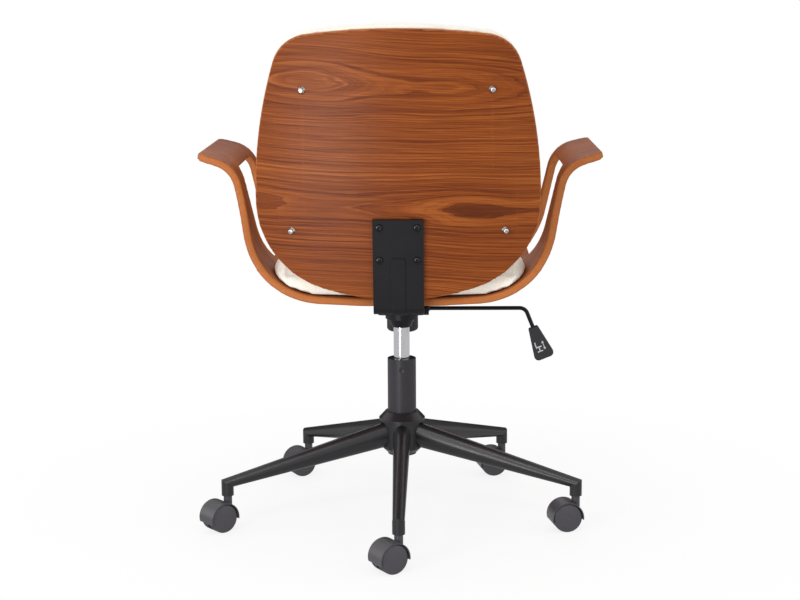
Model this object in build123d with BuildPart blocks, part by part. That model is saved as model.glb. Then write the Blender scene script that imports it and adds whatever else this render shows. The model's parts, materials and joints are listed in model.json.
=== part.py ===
"""Office chair: bent plywood seat and back on a gas lift, with a five-leg base on twin-wheel casters.

Millimetres, +Z up. The origin is on the floor under the column. The sitter faces -Y and the lever is on -X.
"""
import os
from math import asin, cos, degrees, pi, radians, sin, sqrt, tan

from build123d import *

# Fits
slip = 0.05  # radial gap of a turning or sliding fit
seat_gap = 0.1  # gap between fixed pieces that seat on each other
soft_gap = 0.4  # gap round upholstery

# Five-leg base
leg_count = 5
caster_circle = 315.5  # radius from the column to each caster stem
socket_diameter = 21.0
socket_bottom = 60.5
socket_top = 91.0
leg_root_width = 31.0
leg_root_height = 46.0
leg_root_top = 170.0
leg_tip_width = 20.0
leg_tip_height = 18.0
leg_runout = 4.0  # how far the blank runs past the socket before it is rounded off
hub_diameter = 69.0
hub_bottom = 114.0
hub_top = 172.0
hub_chamfer = 7.0
collar_diameter = 81.0
collar_height = 15.0
collar_slope = 11.0
collar_edge = 3.0

# Casters
wheel_diameter = 50.0
wheel_width = 16.5
wheel_dome = 2.0
wheel_round = 3.0
caster_trail = 18.0
web_width = 7.0
wheel_side_gap = 0.5
fender_gap = 0.9
fender_wall = 1.8
fender_front_angle = -15.0
fender_back_angle = 187.0
web_drop = 9.0  # how far the web reaches under the axle
axle_diameter = 6.0
axle_reach = 11.0  # into each wheel
stem_diameter = 11.0
stem_rise = 20.0  # into the socket of the leg
stem_depth = 14.0  # into the neck of the hood
stem_chamfer = 1.0
neck_diameter = 14.6
neck_gap = 1.0  # air between the neck and the socket
caster_headings = [33.0, 12.0, 12.0, 28.0, 40.0]  # direction of trail of each caster, from +X towards +Y

# Gas lift
column_diameter = 50.0
column_wall = 2.0
column_bottom = 110.0
column_top = 282.0
column_floor = 4.0
column_rim = 1.0
crimp_drop = 18.0  # from the top of the column to its crimp
crimp_diameter = 11.0
crimp_depth = 1.1
bush_length = 60.0
bush_recess = 1.0
lift_diameter = 28.0
lift_wall = 2.0
lift_bottom = 168.0
taper_top_diameter = 26.0
taper_length = 34.0
rod_diameter = 10.0
rod_top = 240.0
rod_tail = 7.0  # below the floor of the column
piston_height = 8.0
bearing_diameter = 26.0
bearing_height = 5.0
clip_diameter = 18.0
clip_height = 2.0
rod_seal_height = 8.0
valve_height = 24.0
release_pin_diameter = 7.0
release_pin_rise = 10.0
release_pin_round = 2.4
release_pin_depth = 32.0

# Tilt mechanism
housing_floor = 364.0  # underside
socket_drop = 26.0  # from the floor to the lowest edge of the housing
housing_half_width = 40.0
housing_front = 112.0
housing_back = 36.0
housing_wall = 3.0
housing_corner = 8.0
dish_radius = 28.0
dish_drop = 11.0
cone_top_radius = 24.0
cone_wall = 2.5
taper_wall = 3.5
tilt_pin_diameter = 10.0
tilt_pin_forward = 40.0
tilt_pin_rise = 20.0  # over the housing's underside
tilt_pin_head = 3.0
rim_stop_gap = 0.3
rim_slope_start = 5.0  # forward of the tilt pin
rim_slope = 13.0  # degrees
seat_rise = 43.0  # over the housing's underside
plate_thickness = 4.0
plate_half_width = 70.0
plate_front = 118.0
plate_back = 122.0
plate_corner = 14.0
ear_gap = 0.6
ear_thickness = 4.0
ear_length = 36.0
ear_drop = 10.0  # under the tilt pin
tension_forward = 88.0
tension_bolt_diameter = 10.0
tension_flange_diameter = 22.0
tension_flange_height = 5.0
tension_slot_width = 14.0
tension_slot_front = 16.0
tension_slot_back = 8.0
knob_diameter = 56.0
knob_drop = 50.0  # under the housing's underside
knob_height = 28.0
knob_floor = 8.0
knob_cup_diameter = 42.0
knob_round = 6.0
knob_ribs = 24
rib_groove = 2.6
spring_diameter = 34.0
spring_wire = 4.5
spring_turns = 4.5
spring_steps = 48  # per turn, for the measure of its gap to itself
spring_apart = 0.75  # of a turn, from which on two points of the coil are compared

# Lever
lever_diameter = 7.0
lever_pivot_rise = 6.0  # over the housing's underside
lever_pivot_out = 44.0
lever_bush_diameter = 14.0
lever_bush_length = 11.0
lever_seat_gap = 0.2
boss_diameter = 24.0
boss_out = 48.0
lever_tip_in = 10.0  # past the release pin
lever_rise = 16.0  # of the inner end above the lever
lever_crank_top = 18.0
lever_crank_foot = 29.0
lever_crank_radius = 6.0
lever_out = 216.0
lever_bend_radius = 14.0
lever_slant = 68.0  # degrees below level
lever_tail = 52.0  # slanted end
paddle_start = 36.0  # along the slanted end
paddle_length = 60.0
paddle_top_width = 17.0
paddle_bottom_width = 38.0
paddle_thickness = 10.0
paddle_corner = 8.0
paddle_shoulder = 3.0
paddle_round = 2.0

# Seat shell
ply = 13.0
seat_flat_half = 62.0
seat_slope = 3.0  # degrees, outside the flat
seat_slope_radius = 300.0
seat_bend_radius = 141.0
wall_out = 263.0  # the outer face of the arm stands this far out
wall_at = 124.0  # at this height over the underside of the seat
wall_angle = 76.8
arm_bend_radius = 46.0
arm_angle = 14.0
arm_out = 321.0
arm_at = 225.0
arm_tip = 343.0
seat_front = 270.0
seat_back = 185.0
seat_front_rise = 50.0
seat_back_rise = 40.0
waist_front = 215.0
waist_back = 96.0
waist_rise = 160.0
arm_front = 228.0
arm_back = 88.0
side_bend_radius = 95.0
waist_bend_radius = 110.0
tip_round = 30.0
slot_bottom = 50.0  # over the underside of the seat
slot_top = 212.0
slot_front = 178.0
slot_back = 30.0
slot_foot_front = 166.0
slot_foot_back = 26.0
slot_foot_round = 36.0
slot_head_round = 20.0

# Back
back_recline = 10.0
back_ply = 11.0
back_foot_y = 209.0  # rear face of the panel at its lowest point
back_foot_rise = 14.0  # over the underside of the seat
back_height = 446.5
back_half_width = 230.4
back_widest = 160.0  # over its lowest point
back_bottom_radius = 450.0
back_side_radius = 760.0
back_top_radius = 883.0
back_bottom_corner = 144.0
back_top_corner = 66.0
back_curve = 800.0  # radius of the wrap round the sitter
board_thickness = 8.0
board_inset = 18.0
back_screw_upper = 347.0
back_screw_upper_out = 150.0
back_screw_lower = 113.5
back_screw_lower_out = 173.0
back_screw_diameter = 6.0
back_screw_head = 8.6
back_screw_head_height = 3.0
washer_diameter = 12.5
washer_height = 2.6
washer_slope = 1.8

# Back bracket
bracket_half_width = 41.0
bracket_thickness = 6.0
bracket_front = 50.0
bracket_top = 139.0
bracket_bend_radius = 14.0
bead_half_width = 12.0
bead_height = 1.6
bead_round = 1.4
bead_top = 74.0
bead_front = 150.0
bracket_screw_out = 30.4
bracket_screw_rows = [71.0, 126.0]
bracket_screw_diameter = 6.0
bracket_screw_head = 12.0
bracket_screw_head_height = 4.0

# Heads of the round-head screws
head_round_share = 0.75  # of the head's height
recess_share = 0.2  # of the head's diameter

# Bolts under the seat
bolt_diameter = 8.0
bolt_head = 13.0
bolt_head_height = 5.5
bolt_in_ply = 11.0
plate_bolt_out = 56.0
plate_bolt_front = 92.0
plate_bolt_back = 96.0
bracket_bolt_out = 24.0
bracket_bolt_y = 98.0

# Cushions
seat_pad_height = 73.0  # crown over the seat shell
seat_pad_side = 208.0
seat_pad_sag = 10.0
seat_pad_front = 275.0
seat_pad_back = 168.0
seat_pad_end_height = 40.0
seat_pad_round = 30.0
seat_pad_bulge = 6.0
seat_pad_slices = (0, 40, 90)  # degrees round each end
seat_pad_middles = (0.2, 0.5, 0.8)  # shares of the way from the rear end to the front end
back_pad_thickness = 46.0
back_pad_front_radius = 1500.0
back_pad_overhang = 3.0
back_pad_round = 15.0
back_pad_foot = 60.0  # over the lowest point of the panel
back_pad_corner = 70.0

os.makedirs("parts", exist_ok=True)


def keep(builder, name):
    """Label a finished piece and write it out."""
    builder.part.label = name
    export_step(builder.part, f"parts/{name}.step")


def meet(p, p_angle, q, q_angle):
    """Where the line through p at p_angle crosses the line through q at q_angle."""
    p_dir = Vector(cos(radians(p_angle)), sin(radians(p_angle)))
    q_dir = Vector(cos(radians(q_angle)), sin(radians(q_angle)))
    gap = Vector(*q) - Vector(*p)
    along = gap.cross(q_dir).Z / p_dir.cross(q_dir).Z
    crossing = Vector(*p) + p_dir * along
    return (crossing.X, crossing.Y)


def sheet_line(anchors, angles, radii, depth):
    """Corners and bend radii of a bent sheet's line, shifted to its left by depth."""
    shifted = []
    for (x, y), angle in zip(anchors, angles):
        shifted.append((x - depth * sin(radians(angle)), y + depth * cos(radians(angle))))
    corners = []
    bends = []
    for i in range(len(radii)):
        corners.append(meet(shifted[i], angles[i], shifted[i + 1], angles[i + 1]))
        left_turn = angles[i + 1] > angles[i]
        bends.append(radii[i] - depth if left_turn else radii[i] + depth)
    return [shifted[0]] + corners + [shifted[-1]], bends


def sheet_profile(anchors, angles, radii, near, far):
    """The closed profile of a bent sheet between two depths. The first and last anchors are its ends."""
    near_points, near_bends = sheet_line(anchors, angles, radii, near)
    far_points, far_bends = sheet_line(anchors, angles, radii, far)
    with BuildSketch() as profile:
        with BuildLine():
            FilletPolyline(*near_points, radius=near_bends)
            Line(near_points[-1], far_points[-1])
            FilletPolyline(*far_points, radius=far_bends)
            Line(far_points[0], near_points[0])
        make_face()
    return profile.sketch


# Places that several pieces share
hub_radius = hub_diameter / 2
column_radius = column_diameter / 2
lift_radius = lift_diameter / 2
lift_bore_radius = lift_radius - lift_wall
rod_radius = rod_diameter / 2
socket_lip = housing_floor - socket_drop
tilt_pin_height = housing_floor + tilt_pin_rise
seat_underside = housing_floor + seat_rise
knob_bottom = housing_floor - knob_drop
lever_height = housing_floor + lever_pivot_rise
back_foot_z = seat_underside + back_foot_rise
taper_bottom = socket_lip
lift_top = taper_bottom + taper_length
plate_bottom = seat_underside - plate_thickness
tilt_pin_y = -tilt_pin_forward
tension_y = -tension_forward
lever_inner_height = lever_height + lever_rise
leg_directions = [90.0 + 360.0 / leg_count * i for i in range(leg_count)]

# Base: hub and collar
with BuildPart() as base_hub:
    with BuildSketch(Plane.XZ):
        with BuildLine():
            Polyline(
                (column_radius + seat_gap, hub_bottom),
                (hub_radius - hub_chamfer, hub_bottom),
                (hub_radius, hub_bottom + hub_chamfer),
                (hub_radius, hub_top),
                (column_radius + seat_gap, hub_top),
                close=True,
            )
        make_face()
    revolve(axis=Axis.Z)
keep(base_hub, "base_hub")

with BuildPart() as hub_collar:
    with BuildSketch(Plane.XZ):
        with BuildLine():
            Polyline(
                (column_radius + seat_gap, hub_top),
                (collar_diameter / 2, hub_top),
                (collar_diameter / 2, hub_top + collar_edge),
                (collar_diameter / 2 - collar_slope, hub_top + collar_height),
                (column_radius + seat_gap, hub_top + collar_height),
                close=True,
            )
        make_face()
    revolve(axis=Axis.Z)
keep(hub_collar, "hub_collar")


def leg_section(reach, top, width, height, direction):
    """An oval slice of a leg, square to the leg, at one reach from the column."""
    out = Vector(cos(radians(direction)), sin(radians(direction)))
    side = Vector(-out.Y, out.X)
    middle = out * reach + Vector(0, 0, top - height / 2)
    with BuildSketch(Plane(origin=middle, x_dir=side, z_dir=out)) as section:
        Ellipse(width / 2, height / 2)
    return section.sketch


# Base: legs. Each runs on past its tip, is rounded off there in plan and stands on the socket of its caster
leg_end = caster_circle + socket_diameter / 2 + leg_runout
end_share = (leg_end - column_radius) / (caster_circle - column_radius)


def at_end(root, tip):
    """A size of the leg at its end, on the straight line from its root through its tip."""
    return root + (tip - root) * end_share


end_top = at_end(leg_root_top, socket_top)
end_width = at_end(leg_root_width, leg_tip_width)
end_height = at_end(leg_root_height, leg_tip_height)
for number, direction in enumerate(leg_directions, 1):
    tip = Vector(cos(radians(direction)), sin(radians(direction))) * caster_circle
    with BuildPart() as leg:
        add(leg_section(column_radius, leg_root_top, leg_root_width, leg_root_height, direction))
        add(leg_section(leg_end, end_top, end_width, end_height, direction))
        loft()
        with BuildSketch(Plane.XY):
            with Locations((tip.X, tip.Y)):
                Circle(socket_diameter / 2)
            with Locations(Location((tip.X / 2, tip.Y / 2, 0), (0, 0, direction))):
                Rectangle(caster_circle, 2 * leg_root_width)
        extrude(amount=2 * leg_root_top, mode=Mode.INTERSECT)
        with BuildSketch(Plane.XY.offset(socket_bottom)):
            with Locations((tip.X, tip.Y)):
                Circle(socket_diameter / 2)
        extrude(amount=socket_top - leg_tip_height / 2 - socket_bottom)
        with BuildSketch(Plane.XY.offset(socket_bottom)):
            with Locations((tip.X, tip.Y)):
                Circle(stem_diameter / 2 + slip)
        extrude(amount=stem_rise + neck_gap, mode=Mode.SUBTRACT)
        with BuildSketch(Plane.XY):
            Circle(hub_radius + seat_gap)
        extrude(amount=hub_top + leg_root_height, mode=Mode.SUBTRACT)
    keep(leg, f"base_leg_{number}")

# Caster, drawn once: the stem stands on the origin, the wheels trail along +X and the axle lies along Y
wheel_radius = wheel_diameter / 2
axle_radius = axle_diameter / 2
fender_inner = wheel_radius + fender_gap
fender_outer = fender_inner + fender_wall
fender_sweep = fender_back_angle - fender_front_angle
wheel_inner_face = web_width / 2 + wheel_side_gap
wheel_outer_face = wheel_inner_face + wheel_width
wheel_rim_face = wheel_outer_face - wheel_dome
neck_top = socket_bottom - neck_gap
wheel_centre = (caster_trail, 0, wheel_radius)
side_view = Plane(origin=wheel_centre, x_dir=(1, 0, 0), z_dir=(0, -1, 0))
across_view = Plane(origin=wheel_centre, x_dir=(0, 1, 0), z_dir=(1, 0, 0))
axle_line = Axis(wheel_centre, (0, 1, 0))

with BuildPart() as caster_hood:
    with BuildSketch(Plane.XY.offset(wheel_radius)):
        Circle(neck_diameter / 2)
    extrude(amount=neck_top - wheel_radius)
    with BuildSketch(side_view):
        Circle(fender_inner)
    extrude(amount=wheel_outer_face, both=True, mode=Mode.SUBTRACT)
    with BuildSketch(side_view):
        with BuildLine():
            CenterArc((0, 0), fender_outer, fender_front_angle, fender_sweep)
            CenterArc((0, 0), fender_inner, fender_front_angle, fender_sweep)
            for angle in (fender_front_angle, fender_back_angle):
                spoke = Vector(cos(radians(angle)), sin(radians(angle)))
                Line(spoke * fender_inner, spoke * fender_outer)
        make_face()
    extrude(amount=wheel_outer_face, both=True)
    with BuildSketch(side_view):
        Circle(fender_inner + fender_wall / 2)
        with Locations((0, -web_drop)):
            Rectangle(2 * fender_outer, fender_outer, align=(Align.CENTER, Align.MAX), mode=Mode.SUBTRACT)
        Circle(axle_radius + seat_gap, mode=Mode.SUBTRACT)
    extrude(amount=web_width / 2, both=True)
    with BuildSketch(Plane.XY.offset(neck_top)):
        Circle(stem_diameter / 2 + seat_gap)
    extrude(amount=-stem_depth, mode=Mode.SUBTRACT)

with BuildPart() as caster_stem:
    with BuildSketch(Plane.XY.offset(neck_top - stem_depth)):
        Circle(stem_diameter / 2)
    extrude(amount=stem_depth + neck_gap + stem_rise)
    chamfer(caster_stem.edges().group_by(Axis.Z)[-1], stem_chamfer)

with BuildPart() as caster_axle:
    with BuildSketch(side_view):
        Circle(axle_radius)
    extrude(amount=wheel_inner_face + axle_reach, both=True)

with BuildPart() as caster_wheel:
    with BuildSketch(across_view):
        with BuildLine():
            bore_end = wheel_inner_face + axle_reach + seat_gap
            Polyline(
                (wheel_outer_face, 0),
                (bore_end, 0),
                (bore_end, axle_radius + slip),
                (wheel_inner_face, axle_radius + slip),
                (wheel_inner_face, wheel_radius),
                (wheel_rim_face - wheel_round, wheel_radius),
            )
            TangentArc(
                (wheel_rim_face - wheel_round, wheel_radius),
                (wheel_rim_face, wheel_radius - wheel_round),
                tangent=(1, 0),
            )
            TangentArc(
                (wheel_outer_face, 0),
                (wheel_rim_face, wheel_radius - wheel_round),
                tangent=(0, 1),
            )
        make_face()
    revolve(axis=axle_line)

for number, (direction, heading) in enumerate(zip(leg_directions, caster_headings), 1):
    stem_spot = Vector(cos(radians(direction)), sin(radians(direction))) * caster_circle
    trail_way = Vector(cos(radians(heading)), sin(radians(heading)))
    caster_place = Plane(origin=stem_spot, x_dir=trail_way, z_dir=(0, 0, 1))
    caster_pieces = {
        "hood": caster_hood.part,
        "stem": caster_stem.part,
        "axle": caster_axle.part,
        "wheel_left": caster_wheel.part,
        "wheel_right": caster_wheel.part.mirror(Plane.XZ),
    }
    for piece_name, piece in caster_pieces.items():
        with BuildPart(caster_place) as placed:
            add(piece)
        keep(placed, f"caster_{number}_{piece_name}")

# Gas lift: outer column with its crimp
column_bore_radius = column_radius - column_wall
with BuildPart() as column_tube:
    with BuildSketch(Plane.XY.offset(column_bottom)):
        Circle(column_radius)
        Circle(rod_radius + slip, mode=Mode.SUBTRACT)
    extrude(amount=column_top - column_bottom)
    with BuildSketch(Plane.XY.offset(column_bottom + column_floor)):
        Circle(column_bore_radius)
    extrude(amount=column_top - column_bottom - column_floor, mode=Mode.SUBTRACT)
    rim_edge = column_tube.edges().group_by(Axis.Z)[-1].sort_by(SortBy.RADIUS)[-1]
    fillet(rim_edge, column_rim)
    ball = (crimp_diameter**2 / 4 + crimp_depth**2) / (2 * crimp_depth)
    with Locations((0, column_radius - crimp_depth + ball, column_top - crimp_drop)):
        Sphere(ball, mode=Mode.SUBTRACT)
keep(column_tube, "column_tube")

with BuildPart() as guide_bush:
    with BuildSketch(Plane.XY.offset(column_top - bush_recess - bush_length)):
        Circle(column_bore_radius - seat_gap)
        Circle(lift_radius + slip, mode=Mode.SUBTRACT)
    extrude(amount=bush_length)
keep(guide_bush, "guide_bush")

with BuildPart() as thrust_bearing:
    with BuildSketch(Plane.XY.offset(column_bottom + column_floor)):
        Circle(bearing_diameter / 2)
        Circle(rod_radius + slip, mode=Mode.SUBTRACT)
    extrude(amount=bearing_height)
keep(thrust_bearing, "thrust_bearing")

# Gas lift: piston rod, which stands on the bearing and turns with the seat
with BuildPart() as piston_rod:
    with BuildSketch(Plane.XY.offset(column_bottom - rod_tail)):
        Circle(rod_radius)
    extrude(amount=rod_top - column_bottom + rod_tail)
    with BuildSketch(Plane.XY.offset(rod_top - piston_height)):
        Circle(lift_bore_radius - slip)
    extrude(amount=piston_height)
    with BuildSketch(Plane.XY.offset(column_bottom + column_floor + bearing_height + seat_gap)):
        Circle(rod_radius + column_wall)
    extrude(amount=clip_height)
keep(piston_rod, "piston_rod")

with BuildPart() as rod_clip:
    with BuildSketch(Plane.XY.offset(column_bottom - seat_gap - clip_height)):
        Circle(clip_diameter / 2)
        Circle(rod_radius + slip, mode=Mode.SUBTRACT)
    extrude(amount=clip_height)
keep(rod_clip, "rod_clip")

# Gas lift: pressure tube with its taper, its rod seal and its valve
with BuildPart() as pressure_tube:
    with BuildSketch(Plane.XZ):
        with BuildLine():
            Polyline(
                (lift_bore_radius, lift_bottom),
                (lift_radius, lift_bottom),
                (lift_radius, taper_bottom),
                (taper_top_diameter / 2, lift_top),
                (taper_top_diameter / 2 - lift_wall, lift_top),
                (lift_bore_radius, taper_bottom),
                close=True,
            )
        make_face()
    revolve(axis=Axis.Z)
keep(pressure_tube, "pressure_tube")

with BuildPart() as rod_seal:
    with BuildSketch(Plane.XY.offset(lift_bottom)):
        Circle(lift_bore_radius - seat_gap)
        Circle(rod_radius + slip, mode=Mode.SUBTRACT)
    extrude(amount=rod_seal_height)
keep(rod_seal, "rod_seal")

pin_radius = release_pin_diameter / 2
with BuildPart() as valve_plug:
    with BuildSketch(Plane.XY.offset(lift_top)):
        Circle(taper_top_diameter / 2 - lift_wall - seat_gap)
        Circle(pin_radius + slip, mode=Mode.SUBTRACT)
    extrude(amount=-valve_height)
keep(valve_plug, "valve_plug")

with BuildPart() as release_pin:
    with BuildSketch(Plane.XY.offset(lift_top - release_pin_depth)):
        Circle(pin_radius)
    extrude(amount=release_pin_depth + release_pin_rise)
    fillet(release_pin.edges().group_by(Axis.Z)[-1], release_pin_round)
keep(release_pin, "release_pin")

# Tilt mechanism: pressed housing with the taper socket, the lever boss and the tilt pin's holes
housing_rim = plate_bottom - rim_stop_gap
housing_length = housing_front + housing_back
housing_middle = (housing_back - housing_front) / 2
with BuildPart() as mech_housing:
    with BuildSketch(Plane.XY.offset(housing_floor)):
        with Locations((0, housing_middle)):
            RectangleRounded(2 * housing_half_width, housing_length, housing_corner)
    extrude(amount=housing_rim - housing_floor)
    with BuildSketch(Plane.XZ):
        with BuildLine():
            Polyline(
                (0, socket_lip),
                (lift_radius + cone_wall, socket_lip),
                (cone_top_radius, housing_floor - dish_drop),
                (dish_radius, housing_floor - dish_drop),
                (dish_radius, housing_floor + housing_wall),
                (0, housing_floor + housing_wall),
                close=True,
            )
        make_face()
    revolve(axis=Axis.Z)
    with BuildSketch(Plane.YZ.offset(-housing_half_width + housing_wall)):
        with Locations((0, lever_height)):
            Circle(boss_diameter / 2)
    extrude(amount=housing_half_width - housing_wall - boss_out)
    with BuildSketch(Plane.XY.offset(housing_floor + housing_wall)):
        with Locations((0, housing_middle)):
            RectangleRounded(
                2 * (housing_half_width - housing_wall),
                housing_length - 2 * housing_wall,
                housing_corner - housing_wall,
            )
    extrude(amount=housing_rim - housing_floor, mode=Mode.SUBTRACT)
    with BuildSketch(Plane.XY.offset(housing_floor - dish_drop + housing_wall)):
        Circle(dish_radius - housing_wall)
    extrude(amount=dish_drop, mode=Mode.SUBTRACT)
    with BuildSketch(Plane.XY.offset(housing_floor - dish_drop)):
        Circle(lift_radius + taper_wall)
    extrude(amount=lift_top - lever_diameter - housing_floor + dish_drop)
    with BuildSketch(Plane.XZ):
        with BuildLine():
            Polyline(
                (0, taper_bottom),
                (lift_radius + seat_gap, taper_bottom),
                (taper_top_diameter / 2 + seat_gap, lift_top),
                (0, lift_top),
                close=True,
            )
        make_face()
    revolve(axis=Axis.Z, mode=Mode.SUBTRACT)
    with BuildSketch(Plane.YZ):
        with Locations((tilt_pin_y, tilt_pin_height)):
            Circle(tilt_pin_diameter / 2 + slip)
    extrude(amount=2 * housing_half_width, both=True, mode=Mode.SUBTRACT)
    with BuildSketch(Plane.YZ.offset(-lift_radius - taper_wall)):
        with Locations((0, lever_height)):
            Circle(lever_bush_diameter / 2 + lever_seat_gap)
    extrude(amount=-boss_out, mode=Mode.SUBTRACT)
    with BuildSketch(Plane.XY.offset(housing_floor)):
        with Locations((0, tension_y + (tension_slot_back - tension_slot_front) / 2)):
            SlotOverall(tension_slot_front + tension_slot_back, tension_slot_width, rotation=90)
    extrude(amount=housing_wall, mode=Mode.SUBTRACT)
    with BuildSketch(Plane.YZ):
        slope_drop = (housing_length + rim_slope_start) * tan(radians(rim_slope))
        with BuildLine():
            Polyline(
                (tilt_pin_y - rim_slope_start, housing_rim),
                (tilt_pin_y - rim_slope_start + housing_length, housing_rim - slope_drop),
                (tilt_pin_y - rim_slope_start + housing_length, housing_rim),
                close=True,
            )
        make_face()
    extrude(amount=2 * housing_half_width, both=True, mode=Mode.SUBTRACT)
keep(mech_housing, "mech_housing")

ear_inner = housing_half_width + ear_gap
ear_outer = ear_inner + ear_thickness
with BuildPart() as tilt_pin:
    with BuildSketch(Plane.YZ.offset(-ear_outer - tilt_pin_head)):
        with Locations((tilt_pin_y, tilt_pin_height)):
            Circle(tilt_pin_diameter / 2)
    extrude(amount=2 * (ear_outer + tilt_pin_head))
    with BuildSketch(Plane.YZ.offset(ear_outer + ear_gap)):
        with Locations((tilt_pin_y, tilt_pin_height)):
            Circle(tilt_pin_diameter / 2 + tilt_pin_head)
    extrude(amount=tilt_pin_head)
    with BuildSketch(Plane.YZ.offset(-ear_outer - ear_gap)):
        with Locations((tilt_pin_y, tilt_pin_height)):
            Circle(tilt_pin_diameter / 2 + tilt_pin_head)
    extrude(amount=-tilt_pin_head)
keep(tilt_pin, "tilt_pin")

# Bolts that hold the plate and the back bracket to the seat shell
plate_bolt_spots = [(x, y) for x in (-plate_bolt_out, plate_bolt_out) for y in (-plate_bolt_front, plate_bolt_back)]
bracket_bolt_spots = [(x, bracket_bolt_y) for x in (-bracket_bolt_out, bracket_bolt_out)]
bracket_underside = plate_bottom - bracket_thickness

with BuildPart() as seat_plate:
    with BuildSketch(Plane.XY.offset(plate_bottom)):
        with Locations((0, (plate_back - plate_front) / 2)):
            RectangleRounded(2 * plate_half_width, plate_front + plate_back, plate_corner)
        with Locations(*plate_bolt_spots, *bracket_bolt_spots):
            Circle(bolt_diameter / 2 + seat_gap, mode=Mode.SUBTRACT)
    extrude(amount=plate_thickness)
    for side in (-1, 1):
        with BuildSketch(Plane.YZ.offset(side * ear_inner)):
            with BuildLine():
                ear_foot = tilt_pin_height - ear_drop
                FilletPolyline(
                    (tilt_pin_y - ear_length / 2, plate_bottom),
                    (tilt_pin_y - ear_length / 2, ear_foot),
                    (tilt_pin_y + ear_length / 2, ear_foot),
                    (tilt_pin_y + ear_length / 2, plate_bottom),
                    radius=ear_drop - ear_thickness,
                )
                Line(
                    (tilt_pin_y + ear_length / 2, plate_bottom),
                    (tilt_pin_y - ear_length / 2, plate_bottom),
                )
            make_face()
            with Locations((tilt_pin_y, tilt_pin_height)):
                Circle(tilt_pin_diameter / 2 + slip, mode=Mode.SUBTRACT)
        extrude(amount=side * ear_thickness)
keep(seat_plate, "seat_plate")

with BuildPart() as tension_bolt:
    with BuildSketch(Plane.XY.offset(knob_bottom + knob_floor / 2)):
        with Locations((0, tension_y)):
            Circle(tension_bolt_diameter / 2)
    extrude(amount=plate_bottom - knob_bottom - knob_floor / 2)
    with BuildSketch(Plane.XY.offset(plate_bottom)):
        with Locations((0, tension_y)):
            Circle(tension_flange_diameter / 2)
    extrude(amount=-tension_flange_height)
keep(tension_bolt, "tension_bolt")

with BuildPart() as tension_knob:
    with BuildSketch(Plane.XY.offset(knob_bottom)):
        with Locations((0, tension_y)):
            Circle(knob_diameter / 2)
    extrude(amount=knob_height)
    fillet(tension_knob.edges().group_by(Axis.Z)[0], knob_round)
    with BuildSketch(Plane.XY.offset(knob_bottom)):
        with Locations((0, tension_y)):
            with PolarLocations(knob_diameter / 2, knob_ribs):
                Circle(rib_groove / 2)
    extrude(amount=knob_height, mode=Mode.SUBTRACT)
    with BuildSketch(Plane.XY.offset(knob_bottom + knob_floor)):
        with Locations((0, tension_y)):
            Circle(knob_cup_diameter / 2)
    extrude(amount=knob_height, mode=Mode.SUBTRACT)
    with BuildSketch(Plane.XY.offset(knob_bottom + knob_floor / 2 - seat_gap)):
        with Locations((0, tension_y)):
            Circle(tension_bolt_diameter / 2 + slip)
    extrude(amount=knob_height, mode=Mode.SUBTRACT)
keep(tension_knob, "tension_knob")

# Tension spring: a helix of half-turn biarcs from the knob's cup to the housing
coil_radius = (spring_diameter - spring_wire) / 2
coil_foot = knob_bottom + knob_floor + soft_gap + spring_wire / 2
coil_head = housing_floor - soft_gap - spring_wire / 2
coil_pitch = (coil_head - coil_foot) / spring_turns


def coil_point(turn):
    """A point on the middle line of the spring."""
    angle = 2 * pi * turn
    return Vector(coil_radius * cos(angle), tension_y + coil_radius * sin(angle), coil_foot + coil_pitch * turn)


def coil_way(turn):
    """The direction of the wire there."""
    angle = 2 * pi * turn
    return Vector(-coil_radius * sin(angle), coil_radius * cos(angle), coil_pitch / (2 * pi)).normalized()


with BuildPart() as tension_spring:
    with BuildLine() as coil:
        for half in range(int(2 * spring_turns)):
            start, end = coil_point(half / 2), coil_point(half / 2 + 0.5)
            start_way, end_way = coil_way(half / 2), coil_way(half / 2 + 0.5)
            chord = end - start
            swing = 2 * (1 - start_way.dot(end_way))
            lean = chord.dot(start_way + end_way)
            arm = (sqrt(lean**2 + swing * chord.dot(chord)) - lean) / swing
            middle = (start + start_way * arm + end - end_way * arm) * 0.5
            first = TangentArc(start, middle, tangent=start_way)
            TangentArc(middle, end, tangent=first % 1)
    with BuildSketch(Plane(origin=coil_point(0), z_dir=coil_way(0))):
        Circle(spring_wire / 2)
    sweep(path=coil.wires()[0])
keep(tension_spring, "tension_spring")

coil_steps = [coil_point(i / spring_steps) for i in range(int(spring_steps * spring_turns) + 1)]
next_turn = int(spring_apart * spring_steps)
coil_gaps = [(a - b).length for i, a in enumerate(coil_steps) for b in coil_steps[i + next_turn:]]
print("spring gap to itself, mm:", round(min(coil_gaps) - spring_wire, 2))

# Lever: ball bush, cranked rod and paddle
with BuildPart() as lever_bush:
    with Locations((-lever_pivot_out, 0, lever_height)):
        Sphere(lever_bush_diameter / 2)
        Box(lever_bush_length, lever_bush_diameter, lever_bush_diameter, mode=Mode.INTERSECT)
        Cylinder(lever_diameter / 2 + slip, lever_bush_diameter, rotation=(0, 90, 0), mode=Mode.SUBTRACT)
keep(lever_bush, "lever_bush")

slant_way = Vector(-cos(radians(lever_slant)), 0, -sin(radians(lever_slant)))
lever_bend = Vector(-lever_out, 0, lever_height)
with BuildPart() as lever_rod:
    with BuildLine() as lever_path:
        FilletPolyline(
            (lever_tip_in, 0, lever_inner_height),
            (-lever_crank_top, 0, lever_inner_height),
            (-lever_crank_foot, 0, lever_height),
            lever_bend,
            lever_bend + slant_way * lever_tail,
            radius=[lever_crank_radius, lever_crank_radius, lever_bend_radius],
        )
    with BuildSketch(Plane(origin=(lever_tip_in, 0, lever_inner_height), z_dir=(-1, 0, 0))):
        Circle(lever_diameter / 2)
    sweep(path=lever_path.wires()[0])
keep(lever_rod, "lever_rod")

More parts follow.
